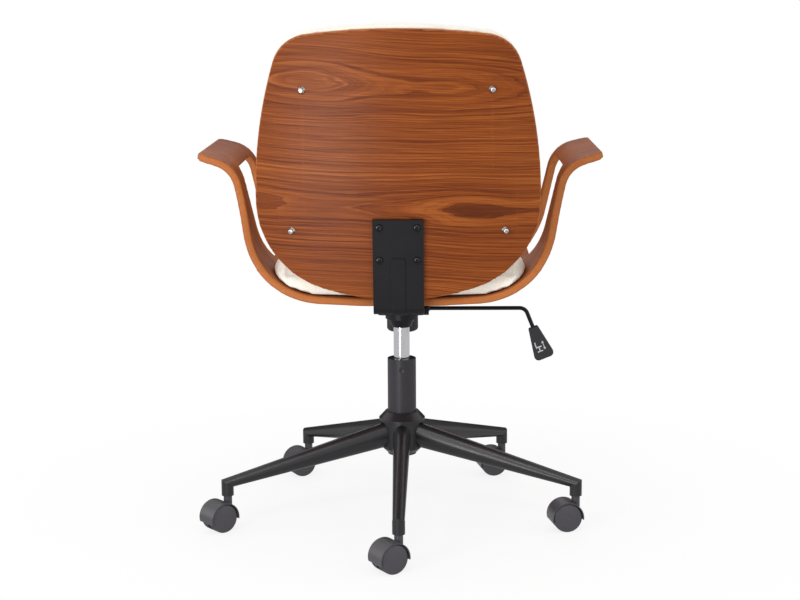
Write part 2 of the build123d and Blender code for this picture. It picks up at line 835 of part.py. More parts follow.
paddle_plane = Plane(origin=lever_bend + slant_way * paddle_start, x_dir=slant_way, z_dir=(0, 1, 0))
with BuildPart() as lever_paddle:
    with BuildSketch(paddle_plane) as paddle_face:
        with BuildLine():
            Polyline(
                (0, -paddle_top_width / 2),
                (paddle_length, -paddle_bottom_width / 2),
                (paddle_length, paddle_bottom_width / 2),
                (0, paddle_top_width / 2),
                close=True,
            )
        make_face()
        fillet(paddle_face.vertices().group_by(Axis.X)[-1], paddle_corner)
        fillet(paddle_face.vertices().group_by(Axis.X)[0], paddle_shoulder)
    extrude(amount=paddle_thickness / 2, both=True)
    fillet(lever_paddle.faces().filter_by(Axis.Y).edges(), paddle_round)
    with BuildSketch(Plane(origin=lever_bend + slant_way * paddle_start, z_dir=slant_way)):
        Circle(lever_diameter / 2 + seat_gap)
    extrude(amount=lever_tail - paddle_start + seat_gap, mode=Mode.SUBTRACT)
keep(lever_paddle, "lever_paddle")

# Seat shell: one bent sheet from armrest to armrest, trimmed in side view and slotted under each armrest
shell_anchors = [
    (0, seat_underside),
    (seat_flat_half, seat_underside),
    (wall_out, seat_underside + wall_at),
    (arm_tip, seat_underside + arm_at + (arm_tip - arm_out) * tan(radians(arm_angle))),
]
shell_angles = [0, seat_slope, wall_angle, arm_angle]
shell_radii = [seat_slope_radius, seat_bend_radius, arm_bend_radius]
above_arms = seat_underside + arm_at + arm_bend_radius

with BuildPart() as seat_shell:
    with BuildSketch(Plane.XZ):
        add(sheet_profile(shell_anchors, shell_angles, shell_radii, 0, ply))
        mirror(about=Plane.YZ)
    extrude(amount=seat_front + seat_back, both=True)
    with BuildSketch(Plane.YZ):
        with BuildLine():
            FilletPolyline(
                (seat_back, seat_underside - ply),
                (seat_back, seat_underside + seat_back_rise),
                (waist_back, seat_underside + waist_rise),
                (arm_back, above_arms),
                radius=[side_bend_radius, waist_bend_radius],
            )
            Line((arm_back, above_arms), (-arm_front, above_arms))
            FilletPolyline(
                (-arm_front, above_arms),
                (-waist_front, seat_underside + waist_rise),
                (-seat_front, seat_underside + seat_front_rise),
                (-seat_front, seat_underside - ply),
                radius=[waist_bend_radius, side_bend_radius],
            )
            Line((-seat_front, seat_underside - ply), (seat_back, seat_underside - ply))
        make_face()
    extrude(amount=arm_tip + ply, both=True, mode=Mode.INTERSECT)
    with BuildSketch(Plane.YZ) as slot_view:
        with BuildLine():
            Polyline(
                (slot_back, seat_underside + slot_top),
                (-slot_front, seat_underside + slot_top),
                (-slot_foot_front, seat_underside + slot_bottom),
                (slot_foot_back, seat_underside + slot_bottom),
                close=True,
            )
        make_face()
        fillet(slot_view.vertices().group_by(Axis.Y)[0], slot_foot_round)
        fillet(slot_view.vertices().group_by(Axis.Y)[-1], slot_head_round)
    extrude(amount=arm_tip + ply, both=True, mode=Mode.SUBTRACT)
    with BuildSketch(Plane.XY.offset(seat_underside + slot_top)):
        for x_way in (-1, 1):
            for y_way, y_end in ((1, arm_back), (-1, -arm_front)):
                with Locations((x_way * arm_tip, y_end)):
                    Rectangle(2 * tip_round, 2 * tip_round)
                with Locations((x_way * (arm_tip - tip_round), y_end - y_way * tip_round)):
                    Circle(tip_round, mode=Mode.SUBTRACT)
    extrude(amount=arm_at, mode=Mode.SUBTRACT)
    with BuildSketch(Plane.XY.offset(seat_underside)):
        with Locations(*plate_bolt_spots, *bracket_bolt_spots):
            Circle(bolt_diameter / 2 + seat_gap)
    extrude(amount=bolt_in_ply + seat_gap, mode=Mode.SUBTRACT)
keep(seat_shell, "seat_shell")

# Back panel: wrapped round the sitter and leaning back. Its plane has y up the panel and z to the rear
back = Plane(
    origin=(0, back_foot_y, back_foot_z),
    x_dir=(-1, 0, 0),
    z_dir=(0, cos(radians(back_recline)), -sin(radians(back_recline))),
)
up_back = Plane(origin=back.origin - back.y_dir * back_height, x_dir=(-1, 0, 0), z_dir=back.y_dir)


def back_spot(across, up, proud):
    """A plane square to the rear face of the panel, standing proud of it."""
    turn = degrees(asin(across / back_curve))
    return Plane(back.location * Location((0, up, -back_curve), (0, turn, 0)) * Location((0, 0, back_curve + proud)))


def egg(grow):
    """The outline of the back, four arcs with rounded corners, larger by grow."""
    with BuildSketch() as outline:
        with Locations((0, back_bottom_radius)):
            Circle(back_bottom_radius + grow)
        with Locations((0, back_height - back_top_radius)):
            Circle(back_top_radius + grow, mode=Mode.INTERSECT)
        for side in (-1, 1):
            with Locations((side * (back_half_width - back_side_radius), back_widest)):
                Circle(back_side_radius + grow, mode=Mode.INTERSECT)
        fillet(outline.vertices().group_by(Axis.Y)[0], back_bottom_corner + grow)
        fillet(outline.vertices().group_by(Axis.Y)[-1], back_top_corner + grow)
    return outline.sketch


def egg_above(grow, foot, corner):
    """The same outline, cut off level at its foot."""
    with BuildSketch() as outline:
        add(egg(grow))
        with Locations((0, foot)):
            Rectangle(3 * back_half_width, 2 * back_height, align=(Align.CENTER, Align.MIN), mode=Mode.INTERSECT)
        fillet(outline.vertices().group_by(Axis.Y)[0], corner)
    return outline.sketch


def wrapped_slice(rear_depth, front_depth, front_radius):
    """A curved slice across the back, from one depth inside the rear face of the panel to another."""
    with BuildSketch() as slice_view:
        with Locations((0, back_curve)):
            Circle(back_curve - rear_depth)
        with Locations((0, front_depth + front_radius)):
            Circle(front_radius, mode=Mode.SUBTRACT)
        Rectangle(3 * back_half_width, back_half_width, mode=Mode.INTERSECT)
    return slice_view.sketch


back_screw_spots = [(side * back_screw_upper_out, back_screw_upper) for side in (-1, 1)]
back_screw_spots += [(side * back_screw_lower_out, back_screw_lower) for side in (-1, 1)]
bracket_screw_spots = [(side * bracket_screw_out, row) for side in (-1, 1) for row in bracket_screw_rows]
behind_back = back.offset(-2 * back_curve)
board_back = back_ply + seat_gap
board_front = board_back + board_thickness

with BuildPart() as back_panel:
    with BuildSketch(up_back):
        add(wrapped_slice(0, back_ply, back_curve - back_ply))
    extrude(amount=3 * back_height)
    with BuildSketch(behind_back):
        add(egg(0))
    extrude(amount=4 * back_curve, mode=Mode.INTERSECT)
    for across, up in back_screw_spots:
        with BuildSketch(back_spot(across, up, back_ply)):
            Circle(back_screw_diameter / 2 + seat_gap)
        extrude(amount=-3 * back_ply, mode=Mode.SUBTRACT)
    with BuildSketch(back.offset(back_ply)):
        with Locations(*bracket_screw_spots):
            Circle(bracket_screw_diameter / 2 + seat_gap)
    extrude(amount=-3 * back_ply, mode=Mode.SUBTRACT)
keep(back_panel, "back_panel")

# Board inside the back cushion, which the chrome screws hold
board_foot = back_pad_foot + board_inset
with BuildPart() as back_board:
    with BuildSketch(up_back):
        add(wrapped_slice(board_back, board_front, back_curve - board_front))
    extrude(amount=3 * back_height)
    with BuildSketch(behind_back):
        add(egg_above(-board_inset, board_foot, back_pad_corner - board_inset))
    extrude(amount=4 * back_curve, mode=Mode.INTERSECT)
    for across, up in back_screw_spots:
        with BuildSketch(back_spot(across, up, back_ply)):
            Circle(back_screw_diameter / 2 + seat_gap)
        extrude(amount=-4 * back_ply, mode=Mode.SUBTRACT)
keep(back_board, "back_board")

# Back cushion: crowned front, soft edges and a pocket for the board
with BuildPart() as board_pocket:
    with BuildSketch(up_back):
        add(wrapped_slice(0, board_front + soft_gap, back_curve - board_front - soft_gap))
    extrude(amount=3 * back_height)
    with BuildSketch(behind_back):
        add(egg_above(soft_gap - board_inset, board_foot - soft_gap, back_pad_corner - board_inset + soft_gap))
    extrude(amount=4 * back_curve, mode=Mode.INTERSECT)

with BuildPart() as back_cushion:
    with BuildSketch(up_back):
        add(wrapped_slice(back_ply + soft_gap, back_ply + back_pad_thickness, back_pad_front_radius))
    extrude(amount=3 * back_height)
    with BuildSketch(behind_back):
        add(egg_above(back_pad_overhang, back_pad_foot, back_pad_corner))
    extrude(amount=4 * back_curve, mode=Mode.INTERSECT)
    pad_faces = back_cushion.faces().sort_by(SortBy.AREA)[-2:]
    fillet(pad_faces.sort_by(Axis.Y)[0].edges(), back_pad_round)
    add(board_pocket.part, mode=Mode.SUBTRACT)
keep(back_cushion, "back_cushion")

# Back bracket: an angle of plate with a pressed bead round its bend
upright_back = seat_gap + bracket_thickness


def upright_end(up):
    """A point on the rear face of the bracket's upright, in side view."""
    spot = back.origin + back.y_dir * up + back.z_dir * upright_back
    return (spot.Y, spot.Z)


bracket_angles = [0, 90 - back_recline]
with BuildPart() as bracket_bead:
    with BuildSketch(Plane.YZ):
        bead_line = [(bead_front, bracket_underside), upright_end(bead_top)]
        add(sheet_profile(bead_line, bracket_angles, [bracket_bend_radius], -bead_height, bracket_thickness / 2))
    extrude(amount=bead_half_width, both=True)
    fillet(bracket_bead.faces().filter_by(Axis.X).edges(), bead_round)

with BuildPart() as back_bracket:
    with BuildSketch(Plane.YZ):
        bracket_line = [(bracket_front, bracket_underside), upright_end(bracket_top)]
        add(sheet_profile(bracket_line, bracket_angles, [bracket_bend_radius], 0, bracket_thickness))
    extrude(amount=bracket_half_width, both=True)
    add(bracket_bead.part)
    with BuildSketch(back.offset(back_ply)):
        with Locations(*bracket_screw_spots):
            Circle(bracket_screw_diameter / 2 + seat_gap)
    extrude(amount=-2 * back_ply, mode=Mode.SUBTRACT)
    with BuildSketch(Plane.XY.offset(seat_underside)):
        with Locations(*bracket_bolt_spots):
            Circle(bolt_diameter / 2 + seat_gap)
    extrude(amount=-3 * bracket_thickness, mode=Mode.SUBTRACT)
keep(back_bracket, "back_bracket")


def round_head_screw(face, head_diameter, head_height, shank_diameter, shank_length):
    """A screw with a rounded head on a face and a hex recess in its head."""
    with BuildPart() as screw:
        with BuildSketch(face):
            Circle(head_diameter / 2)
        extrude(amount=head_height)
        top_edges = screw.edges().filter_by(GeomType.CIRCLE).filter_by(
            lambda edge: abs(face.to_local_coords(edge.arc_center).Z - head_height) < seat_gap
        )
        fillet(top_edges, head_height * head_round_share)
        with BuildSketch(face.offset(head_height)):
            RegularPolygon(head_diameter * recess_share, 6)
        extrude(amount=-head_height / 2, mode=Mode.SUBTRACT)
        with BuildSketch(face):
            Circle(shank_diameter / 2)
        extrude(amount=-shank_length)
    return screw.part


bracket_screw_face = back.offset(upright_back + seat_gap)
bracket_screw_set = []
for across, up in bracket_screw_spots:
    face = Plane(bracket_screw_face.location * Location((across, up, 0)))
    length = bracket_thickness + back_ply
    bracket_screw_set.append(
        round_head_screw(face, bracket_screw_head, bracket_screw_head_height, bracket_screw_diameter, length)
    )
with BuildPart() as bracket_screws:
    add(bracket_screw_set)
keep(bracket_screws, "bracket_screws")

back_screw_set = []
for across, up in back_screw_spots:
    face = back_spot(across, up, seat_gap + washer_height + seat_gap)
    length = washer_height + back_ply + board_thickness
    back_screw_set.append(
        round_head_screw(face, back_screw_head, back_screw_head_height, back_screw_diameter, length)
    )
with BuildPart() as back_screws:
    add(back_screw_set)
keep(back_screws, "back_screws")

with BuildPart() as back_washers:
    for across, up in back_screw_spots:
        with BuildSketch(back_spot(across, up, seat_gap)):
            Circle(washer_diameter / 2)
            Circle(back_screw_diameter / 2 + seat_gap, mode=Mode.SUBTRACT)
        with BuildSketch(back_spot(across, up, seat_gap + washer_height)):
            Circle(washer_diameter / 2 - washer_slope)
            Circle(back_screw_diameter / 2 + seat_gap, mode=Mode.SUBTRACT)
        loft()
keep(back_washers, "back_washers")

with BuildPart() as seat_bolts:
    for spots, face in ((plate_bolt_spots, plate_bottom), (bracket_bolt_spots, bracket_underside)):
        with BuildSketch(Plane.XY.offset(face - seat_gap)):
            with Locations(*spots):
                RegularPolygon(bolt_head / 2, 6, major_radius=False)
        extrude(amount=-bolt_head_height)
        with BuildSketch(Plane.XY.offset(face - seat_gap)):
            with Locations(*spots):
                Circle(bolt_diameter / 2)
        extrude(amount=seat_underside + bolt_in_ply - face + seat_gap)
keep(seat_bolts, "seat_bolts")

# Seat cushion: the hollow of the shell, under a crown that falls to all sides
hollow_points, hollow_bends = sheet_line(shell_anchors, shell_angles, shell_radii, ply + soft_gap)
pad_base = seat_underside + ply


def crown_section(y, crown, half_width):
    """A slice of the crown across the seat: level base, upright sides and an arched top."""
    shoulder = pad_base + crown - seat_pad_sag
    with BuildSketch(Plane.XZ.offset(-y)) as section:
        with BuildLine():
            Polyline(
                (-half_width + seat_pad_bulge, shoulder),
                (-half_width, shoulder - seat_pad_bulge),
                (-half_width, seat_underside),
                (half_width, seat_underside),
                (half_width, shoulder - seat_pad_bulge),
                (half_width - seat_pad_bulge, shoulder),
            )
            ThreePointArc(
                (half_width - seat_pad_bulge, shoulder),
                (0, pad_base + crown),
                (-half_width + seat_pad_bulge, shoulder),
            )
        make_face()
    return section.sketch


pad_rear = seat_pad_back - seat_pad_round
pad_run = seat_pad_back + seat_pad_front - 2 * seat_pad_round
with BuildPart() as seat_cushion:
    for way, end in ((1, seat_pad_back), (-1, -seat_pad_front)):
        for angle in seat_pad_slices if way > 0 else reversed(seat_pad_slices):
            swell = sin(radians(angle))
            y = end - way * seat_pad_round * (1 - cos(radians(angle)))
            crown = seat_pad_end_height + (seat_pad_height - seat_pad_end_height) * swell
            add(crown_section(y, crown, seat_pad_side - seat_pad_round * (1 - swell)))
        if way > 0:
            for share in seat_pad_middles:
                add(crown_section(pad_rear - pad_run * share, seat_pad_height, seat_pad_side))
    loft()
    with BuildSketch(Plane.XZ):
        with BuildLine():
            FilletPolyline(*hollow_points[:4], radius=hollow_bends[:2])
            Polyline(hollow_points[3], (0, hollow_points[3][1]), hollow_points[0])
        make_face()
        mirror(about=Plane.YZ)
    extrude(amount=2 * seat_pad_front, both=True, mode=Mode.INTERSECT)
keep(seat_cushion, "seat_cushion")
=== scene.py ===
# %% [markdown]
# A swivel office chair, dressed for its portrait. The construction comes in as a fixed frame: every rigid
# piece already has its true size and place, in metres, with +Z up and the sitter facing -Y. This lesson
# adds what the frame lacks: the wood, the paint, the chrome, the stuffed cushions and the sign on the lever.

import json
from math import cos, pi, radians, sin

import bmesh
import bpy
import numpy as np
from mathutils import Matrix, Vector
from mathutils.bvhtree import BVHTree
from mathutils.kdtree import KDTree


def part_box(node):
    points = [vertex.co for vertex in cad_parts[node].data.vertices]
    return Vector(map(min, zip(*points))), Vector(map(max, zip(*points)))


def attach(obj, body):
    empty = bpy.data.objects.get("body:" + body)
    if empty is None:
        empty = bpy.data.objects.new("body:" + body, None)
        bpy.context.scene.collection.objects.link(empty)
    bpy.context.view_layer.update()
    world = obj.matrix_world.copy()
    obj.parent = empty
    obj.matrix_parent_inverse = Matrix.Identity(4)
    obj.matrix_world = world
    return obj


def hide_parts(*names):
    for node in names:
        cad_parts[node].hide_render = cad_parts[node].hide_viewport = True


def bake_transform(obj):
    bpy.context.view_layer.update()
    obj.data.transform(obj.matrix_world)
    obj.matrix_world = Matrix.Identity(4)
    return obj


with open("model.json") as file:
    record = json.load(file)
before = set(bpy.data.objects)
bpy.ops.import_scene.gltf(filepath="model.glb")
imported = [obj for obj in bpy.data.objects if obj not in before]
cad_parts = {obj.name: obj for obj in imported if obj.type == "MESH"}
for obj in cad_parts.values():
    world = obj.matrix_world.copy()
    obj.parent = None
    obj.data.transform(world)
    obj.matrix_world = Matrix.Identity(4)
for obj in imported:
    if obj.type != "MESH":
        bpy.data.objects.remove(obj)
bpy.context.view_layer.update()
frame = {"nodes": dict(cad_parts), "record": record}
nodes = frame["nodes"]
mm = 0.001
print("nodes in the frame:", len(nodes))

# %% [markdown]
# The photograph looks at the chair from behind with a long lens, a little above seat height. A long lens
# keeps the two sides of the chair parallel. The camera stands on the +Y side, three metres from the column.
# The seat was turned a little when it was photographed, so the camera stands a little to one side. Lengths
# are in metres and the lens in millimetres.

# %% Camera
camera_distance = 3.037
camera_height = 0.931
camera_turn = radians(1.2)
camera_fall = radians(10.2)
camera_roll = -0.006
camera_pan = 0.0008
lens_length = 79.5

camera_data = bpy.data.cameras.new("portrait_camera")
camera_data.lens = lens_length
camera = bpy.data.objects.new("portrait_camera", camera_data)
bpy.context.collection.objects.link(camera)
camera_aside = -camera_distance * sin(camera_turn)
camera_behind = camera_distance * cos(camera_turn)
camera_place = Vector((camera_aside, camera_behind, camera_height))
look_back = Matrix.Rotation(pi + camera_turn + camera_pan, 4, "Z")
look_down = Matrix.Rotation(pi / 2 - camera_fall, 4, "X")
lean = Matrix.Rotation(camera_roll, 4, "Z")
camera.matrix_world = Matrix.Translation(camera_place) @ look_back @ look_down @ lean
bpy.context.scene.camera = camera
print("camera stands at", [round(v, 3) for v in camera_place])

# %% [markdown]
# Two tall softboxes stand to the left and right of the camera. Every round piece of metal in the photograph
# shows them as a pair of bright lines or dots, and the left one is the stronger. Wide, dim panels stand
# overhead, in front, above the camera and at both sides, where they fill the shadows. A small one lies on the
# floor behind the chair: the leaning back mirrors it as the soft sheen on its left half.

# %% Softboxes
bpy.context.scene.view_settings.view_transform = "Standard"
softbox_turn = radians(37)
softbox_distance = 3.4
softbox_height = 1.5
aim = Vector((0.0, 0.0, 0.55))


def softbox(name, place, size, watts):
    """A rectangular lamp that faces the middle of the chair."""
    data = bpy.data.lights.new(name, "AREA")
    data.shape = "RECTANGLE"
    data.size, data.size_y = size
    data.energy = watts
    lamp = bpy.data.objects.new(name, data)
    bpy.context.collection.objects.link(lamp)
    lamp.location = place
    lamp.rotation_euler = (aim - Vector(place)).to_track_quat("-Z", "Y").to_euler()
    lamp.visible_camera = False


softbox_across = softbox_distance * sin(softbox_turn)
softbox_behind = softbox_distance * cos(softbox_turn)
softbox_size = (0.55, 1.7)
side_panel_size = (2.4, 1.8)
# Each lamp: its place and its width and height, in metres, and its watts
lamps = {
    "softbox_left": ((softbox_across, softbox_behind, softbox_height), softbox_size, 34),
    "side_panel_left": ((2.6, 0.2, 0.9), side_panel_size, 12),
    "softbox_right": ((-softbox_across, softbox_behind, softbox_height), softbox_size, 6),
    "side_panel_right": ((-2.6, 0.2, 0.9), side_panel_size, 12),
    "overhead_panel": ((0.0, 0.6, 3.2), (2.6, 2.6), 9),
    "front_panel": ((0.0, -3.2, 2.3), (2.0, 1.4), 16),
    "camera_panel": ((0.25, 2.4, 2.3), (1.0, 0.5), 13),
    "low_panel": ((0.6, 1.5, 0.12), (0.5, 0.2), 5),
}
for lamp_name, (place, size, watts) in lamps.items():
    softbox(lamp_name, place, size, watts)
print("lamps:", ", ".join(lamps))

# %% [markdown]
# Shader maths reads best as plain sums. `Value` wraps one output of a node, and the signs + - * / on it add
# Math nodes. `Finish` holds one material: its `node` method makes any other node from its type, its settings
# and its sockets.


# %% Sums on sockets
class Value:
    """One output in a material, which takes part in sums as a number does."""

    def __init__(self, finish, socket):
        self.finish = finish
        self.socket = socket

    def sum(self, operation, first, second=0.0):
        return self.finish.node("ShaderNodeMath", {"operation": operation}, [first, second])

    def __add__(self, other):
        return self.sum("ADD", self, other)

    def __radd__(self, other):
        return self.sum("ADD", other, self)

    def __sub__(self, other):
        return self.sum("SUBTRACT", self, other)

    def __rsub__(self, other):
        return self.sum("SUBTRACT", other, self)

    def __mul__(self, other):
        return self.sum("MULTIPLY", self, other)

    def __rmul__(self, other):
        return self.sum("MULTIPLY", other, self)

    def __truediv__(self, other):
        return self.sum("DIVIDE", self, other)

    def __pow__(self, other):
        return self.sum("POWER", self, other)

    def __abs__(self):
        return self.sum("ABSOLUTE", self)

    def fract(self):
        return self.sum("FRACT", self)

    def cosine(self):
        return self.sum("COSINE", self)

    def over(self, edge):
        return self.sum("GREATER_THAN", self, edge)

    def least(self, other):
        return self.sum("MINIMUM", self, other)


class Finish:
    """A material, with short ways to add its nodes."""

    def __init__(self, name, roughness=0.5, metallic=0.0):
        self.material = bpy.data.materials.new(name)
        self.material.use_nodes = True
        self.tree = self.material.node_tree
        self.shader = self.tree.nodes["Principled BSDF"]
        self.shader.inputs["Roughness"].default_value = roughness
        self.shader.inputs["Metallic"].default_value = metallic

    def node(self, kind, settings=None, sockets=(), output=0):
        made = self.tree.nodes.new(kind)
        for name, value in (settings or {}).items():
            if name == "stops":
                self.set_stops(made.color_ramp, value)
            else:
                setattr(made, name, value)
        pairs = sockets.items() if isinstance(sockets, dict) else enumerate(sockets)
        for key, value in pairs:
            if isinstance(value, Value):
                self.tree.links.new(value.socket, made.inputs[key])
            else:
                made.inputs[key].default_value = value
        return Value(self, made.outputs[output])

    def set_stops(self, ramp, stops):
        while len(ramp.elements) < len(stops):
            ramp.elements.new(1.0)
        for element, (place, colour) in zip(ramp.elements, stops):
            element.position = place
            element.color = (*colour, 1.0)

    def place(self):
        return self.node("ShaderNodeTexCoord", output="Object")

    def attribute(self, name):
        return self.node("ShaderNodeAttribute", {"attribute_name": name}, output="Vector")

    def parts(self, vector):
        made = self.node("ShaderNodeSeparateXYZ", sockets=[vector])
        return [Value(self, socket) for socket in made.socket.node.outputs]

    def vector(self, x, y, z):
        return self.node("ShaderNodeCombineXYZ", sockets=[x, y, z])

    def noise(self, vector, scale=1.0, detail=2.0):
        sockets = {"Vector": vector, "Scale": scale, "Detail": detail}
        return self.node("ShaderNodeTexNoise", sockets=sockets)

    def cells(self, vector, scale):
        return self.node("ShaderNodeTexVoronoi", sockets={"Vector": vector, "Scale": scale})

    def ramp(self, value, *stops):
        return self.node("ShaderNodeValToRGB", {"stops": stops}, [value])

    def mix(self, factor, first, second, how="MIX"):
        settings = {"data_type": "RGBA", "blend_type": how}
        return self.node("ShaderNodeMix", settings, {0: factor, 6: first, 7: second}, output=2)

    def bump(self, height, strength, distance):
        self.set("Normal", self.node("ShaderNodeBump", sockets={
            "Height": height, "Strength": strength, "Distance": distance}))

    def set(self, socket, value):
        if isinstance(value, Value):
            self.tree.links.new(value.socket, self.shader.inputs[socket])
        else:
            self.shader.inputs[socket].default_value = value


def srgb(red, green, blue):
    """A colour as a screen shows it, 0 to 255, as the linear value that a shader takes."""
    shares = [v / 255 for v in (red, green, blue)]
    return tuple(v / 12.92 if v <= 0.04045 else ((v + 0.055) / 1.055) ** 2.4 for v in shares)


print("a mid grey is", round(srgb(128, 128, 128)[0], 3), "in linear light")

# %% [markdown]
# The white surroundings. The camera sees full white everywhere, as in the photograph, and a mirror sees
# nearly as much. All other rays see the light that fills the shadows. The floor glows for the camera, more
# with distance, so it turns as white as the wall and still keeps a faint shadow under the wheels.


# %% World and floor
class Sky(Finish):
    """The world, with the same short ways."""

    def __init__(self, name):
        self.world = bpy.data.worlds.new(name)
        self.world.use_nodes = True
        self.tree = self.world.node_tree
        self.shader = self.tree.nodes["Background"]


room_light = 0.72
mirror_light = 0.85
floor_mirror_light = 0.55
floor_glow = 0.8
shadow_reach = 0.9
sky = Sky("white_studio")
bpy.context.scene.world = sky.world
camera_ray = sky.node("ShaderNodeLightPath", output="Is Camera Ray")
mirror_ray = sky.node("ShaderNodeLightPath", output="Is Glossy Ray")
strength = room_light + camera_ray * (1.0 - room_light) + mirror_ray * (mirror_light - room_light)
sky.set("Color", (1.0, 1.0, 1.0, 1.0))
sky.set("Strength", strength)

floor_half = 9.0
floor_grey = 0.86
floor_finish = Finish("white_floor", roughness=0.9)
floor_finish.set("Base Color", (floor_grey, floor_grey, floor_grey, 1.0))
camera_ray = floor_finish.node("ShaderNodeLightPath", output="Is Camera Ray")
mirror_ray = floor_finish.node("ShaderNodeLightPath", output="Is Glossy Ray")
glow = floor_finish.node("ShaderNodeEmission", sockets={
    "Color": (1.0, 1.0, 1.0, 1.0), "Strength": camera_ray + mirror_ray * floor_mirror_light})
lit = Value(floor_finish, floor_finish.shader.outputs[0])
x, y, _ = floor_finish.parts(floor_finish.place())
far = ((x * x + y * y) / shadow_reach ** 2).least(1.0)
glow_share = camera_ray * (floor_glow + far * (1.0 - floor_glow)) + mirror_ray
both = floor_finish.node("ShaderNodeMixShader", sockets=[glow_share, lit, glow])
floor_finish.tree.links.new(both.socket, floor_finish.tree.nodes["Material Output"].inputs[0])

floor_mesh = bpy.data.meshes.new("floor")
corners = [(-floor_half, -floor_half, 0), (floor_half, -floor_half, 0),
           (floor_half, floor_half, 0), (-floor_half, floor_half, 0)]
floor_mesh.from_pydata(corners, [], [(0, 1, 2, 3)])
floor_mesh.materials.append(floor_finish.material)
floor = bpy.data.objects.new("floor", floor_mesh)
bpy.context.collection.objects.link(floor)
print("the floor is", 2 * floor_half, "m square")

# %% [markdown]
# A dark card stands beyond the chair, as photographers use one to keep polished tops from turning white.
# Only mirrors see it: it casts no shadow and the camera looks through it.

# %% Dark card
card_finish = Finish("dark_card", roughness=1.0)
card_grey = 0.03
card_finish.set("Base Color", (card_grey, card_grey, card_grey, 1.0))
card_half, card_y, card_low, card_high = 4.0, -2.4, 0.02, 1.5
card_mesh = bpy.data.meshes.new("dark_card")
card_corners = [(-card_half, card_y, card_low), (card_half, card_y, card_low),
                (card_half, card_y, card_high), (-card_half, card_y, card_high)]
card_mesh.from_pydata(card_corners, [], [(0, 1, 2, 3)])
card_mesh.materials.append(card_finish.material)
card = bpy.data.objects.new("dark_card", card_mesh)
bpy.context.collection.objects.link(card)
card.visible_camera = False
card.visible_diffuse = False
card.visible_shadow = False
print("the card is", 2 * card_half, "m wide")

# %% [markdown]
# The metal and plastic finishes. No real paint is one flat colour: a sprayed coat has a fine orange peel,
# a powder coat is a little grainy, and moulded plastic has a matt texture from its mould. Each finish takes
# its pattern from Object coordinates, which are metres here, so a scale of 400 is a pattern of 2.5 mm.


# %% Paint, plastic and metal
def coated(name, colour, roughness, grain_scale, grain_height, mirror=0.4):
    """Paint or plastic: an even colour with a faint drift, and a fine bumpy skin."""
    drift_scale, drift_shade, drift_roughness, grain_strength = 14.0, 0.86, 0.12, 0.35
    finish = Finish(name, roughness)
    finish.set("Specular IOR Level", mirror)
    spot = finish.place()
    drift = finish.noise(spot, drift_scale, detail=3.0)
    grain = finish.noise(spot, grain_scale)
    darker = tuple(v * drift_shade for v in colour)
    finish.set("Base Color", finish.ramp(drift, (0.3, darker), (0.7, colour)))
    finish.set("Roughness", roughness + (drift - 0.5) * drift_roughness)
    finish.bump(grain, grain_strength, grain_height)
    return finish


def bright(name, colour, roughness, stretch):
    """Bare or plated metal: fine lines along Z where the piece was ground."""
    line_scale, line_shade, line_roughness, line_strength = 40.0, 0.9, 0.08, 0.08
    finish = Finish(name, roughness, metallic=1.0)
    x, y, z = finish.parts(finish.place())
    lines = finish.noise(finish.vector(x * stretch, y * stretch, z * line_scale), detail=3.0)
    darker = tuple(v * line_shade for v in colour)
    finish.set("Base Color", finish.ramp(lines, (0.25, darker), (0.75, colour)))
    finish.set("Roughness", roughness + (lines - 0.5) * line_roughness)
    finish.bump(lines, line_strength, 0.1 * mm)
    return finish


gloss_black = coated("gloss_black_paint", srgb(32, 31, 34), 0.3, 500.0, 0.05 * mm, mirror=0.5)
column_black = coated("satin_black_column", srgb(48, 46, 51), 0.38, 900.0, 0.1 * mm, mirror=0.3)
satin_black = coated("satin_black_powder", srgb(19, 17, 22), 0.42, 1300.0, 0.15 * mm, mirror=0.25)
lever_black = coated("black_lever_paint", srgb(14, 13, 15), 0.36, 900.0, 0.1 * mm, mirror=0.2)
caster_grey = coated("caster_plastic", srgb(64, 62, 67), 0.34, 1500.0, 0.2 * mm, mirror=0.55)
moulded_black = coated("moulded_black_plastic", srgb(44, 42, 46), 0.44, 1800.0, 0.15 * mm, mirror=0.35)
rubber = coated("seal_rubber", srgb(24, 24, 24), 0.7, 700.0, 0.1 * mm, mirror=0.3)
zinc = bright("zinc_plated_steel", srgb(180, 180, 184), 0.32, 900.0)
slot_finishes = {
    "gloss_black_steel": gloss_black,
    "column_black": column_black,
    "satin_black_steel": satin_black,
    "lever_black": lever_black,
    "caster_plastic": caster_grey,
    "black_plastic": moulded_black,
    "seal_rubber": rubber,
    "chrome": bright("chrome_plate", srgb(240, 240, 243), 0.12, 300.0),
    "bright_steel": zinc,
}
print("finishes:", ", ".join(sorted(slot_finishes)))

# %% [markdown]
# Walnut veneer. A log is a bundle of thin cones, and a veneer is a nearly flat cut through them, so its
# lines are contours: long and nearly straight, with a few nested tongues where the cut runs level with a
# cone. A sum of a slow wave across the sheet, a slight drift along it and some noise has such contours.
# Fine fibres and short dark pores lie along them. The sheet is laminated, so its cut edge is paler and
# shows its plies.


